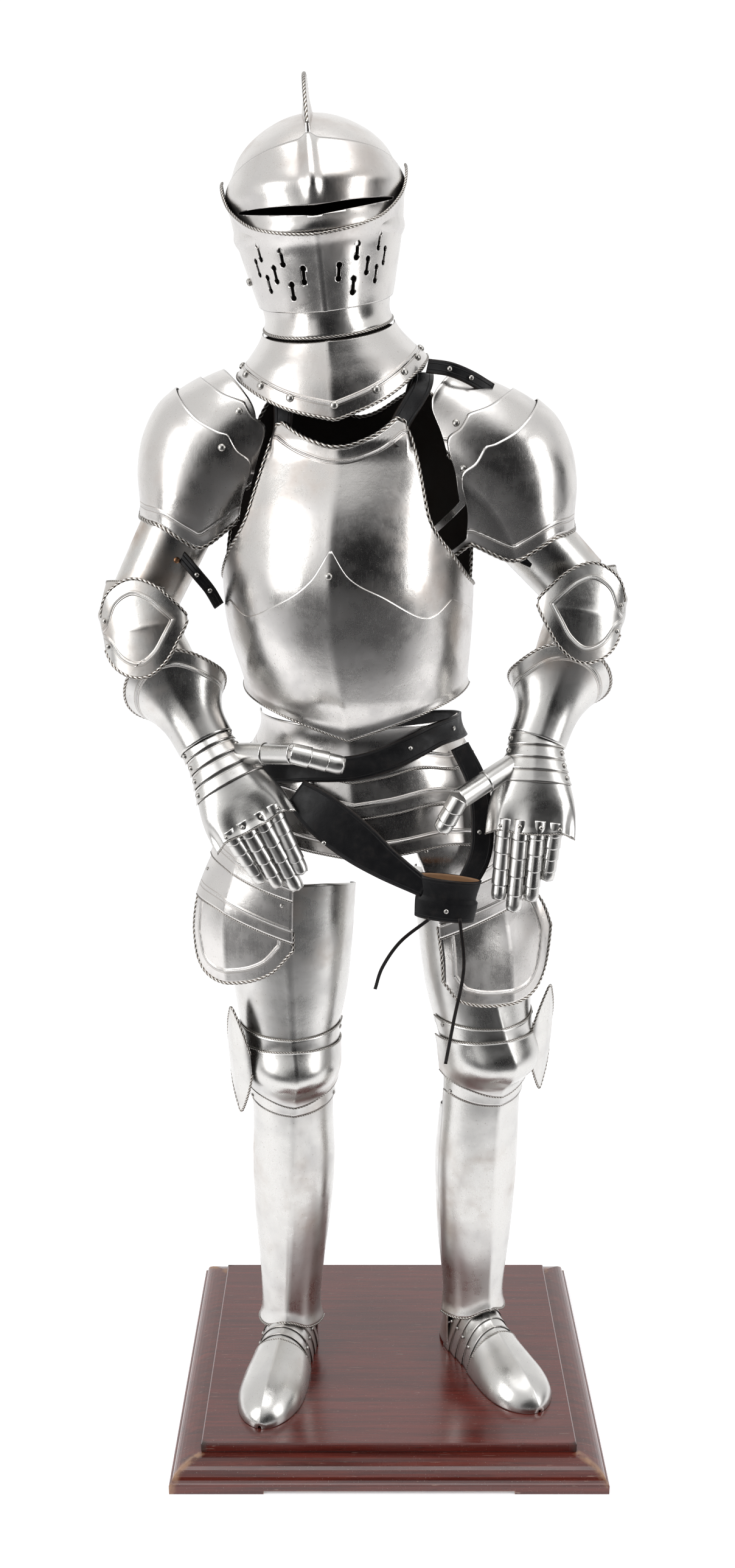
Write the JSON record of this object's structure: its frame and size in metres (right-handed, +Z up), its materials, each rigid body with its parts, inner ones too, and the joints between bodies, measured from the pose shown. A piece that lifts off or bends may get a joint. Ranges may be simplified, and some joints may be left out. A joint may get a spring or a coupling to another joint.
{
  "type": "suit of plate armour on a wooden plinth",
  "caption": "Full suit of steel plate armour with closed helm, pauldrons, gauntlets, tassets, leg plates and a leather belt with sword hanger, standing on a moulded wooden plinth.",
  "frame": {"origin": "centre of the underside of the plinth, which rests on the floor", "axes": "+X towards the wearer's left, +Y towards the wearer's back, +Z up"},
  "size_m": [0.7074, 0.5464, 1.8757],
  "materials": {
    "polished_steel": "polished, hazed and lightly tarnished",
    "dark_leather": "waxed, satin",
    "tan_leather": "cut edges, matt",
    "varnished_wood": "worn varnish",
    "brass": "dull",
    "copper": "dull",
    "blackened_steel": "satin"
  },
  "bodies": {
    "suit": {"plinth_moulding": "varnished_wood", "plinth_board": "varnished_wood", "greave_front_right": "polished_steel", "greave_rear_right": "polished_steel", "poleyn_lower_lame_right": "polished_steel", "poleyn_cop_right": "polished_steel", "poleyn_upper_lame_right": "polished_steel", "cuisse_right": "polished_steel", "greave_front_left": "polished_steel", "greave_rear_left": "polished_steel", "poleyn_lower_lame_left": "polished_steel", "poleyn_cop_left": "polished_steel", "poleyn_upper_lame_left": "polished_steel", "cuisse_left": "polished_steel", "sabaton_toe_right": "polished_steel", "sabaton_lames_right": "polished_steel", "sabaton_toe_left": "polished_steel", "sabaton_lames_left": "polished_steel", "sabaton_heel_right": "polished_steel", "sabaton_heel_left": "polished_steel", "breastplate": "polished_steel", "plackart": "polished_steel", "backplate": "polished_steel", "fauld_hoop_top": "polished_steel", "fauld_hoop_middle": "polished_steel", "fauld_hoop_bottom": "polished_steel", "tasset_lame_upper_right": "polished_steel", "tasset_lame_lower_right": "polished_steel", "tasset_main_right": "polished_steel", "tasset_lame_upper_left": "polished_steel", "tasset_lame_lower_left": "polished_steel", "tasset_main_left": "polished_steel", "belt": "dark_leather", "sword_frog": "dark_leather", "collar_front": "polished_steel", "collar_back": "polished_steel", "shoulder_strap_right": "dark_leather", "shoulder_strap_left": "dark_leather", "pauldron_main_right": "polished_steel", "pauldron_middle_right": "polished_steel", "pauldron_top_right": "polished_steel", "pauldron_main_left": "polished_steel", "pauldron_middle_left": "polished_steel", "pauldron_top_left": "polished_steel", "rerebrace_right": "polished_steel", "vambrace_right": "polished_steel", "couter_right": "polished_steel", "gauntlet_cuff_right": "polished_steel", "gauntlet_hand_right": "polished_steel", "rerebrace_left": "polished_steel", "vambrace_left": "polished_steel", "couter_left": "polished_steel", "gauntlet_cuff_left": "polished_steel", "gauntlet_hand_left": "polished_steel"},
    "helm": {"helm_skull": "polished_steel", "visor": "polished_steel", "helm_neck_lame": "polished_steel"},
    "bevor": {"bevor": "polished_steel"}
  },
  "joints": [
    {"name": "helm_turn", "type": "hinge", "parent": "suit", "child": "helm", "pos_m": [-0.08096, 0, 1.56995], "axis": [-0.0943, -0.1772, 0.9797], "range_deg": [-30, 30]},
    {"name": "bevor_swing", "type": "hinge", "parent": "helm", "child": "bevor", "pos_m": [-0.09649, 0, 1.73121], "axis": [-0.9954, 0, -0.0958], "range_deg": [0, 45]}
  ]
}
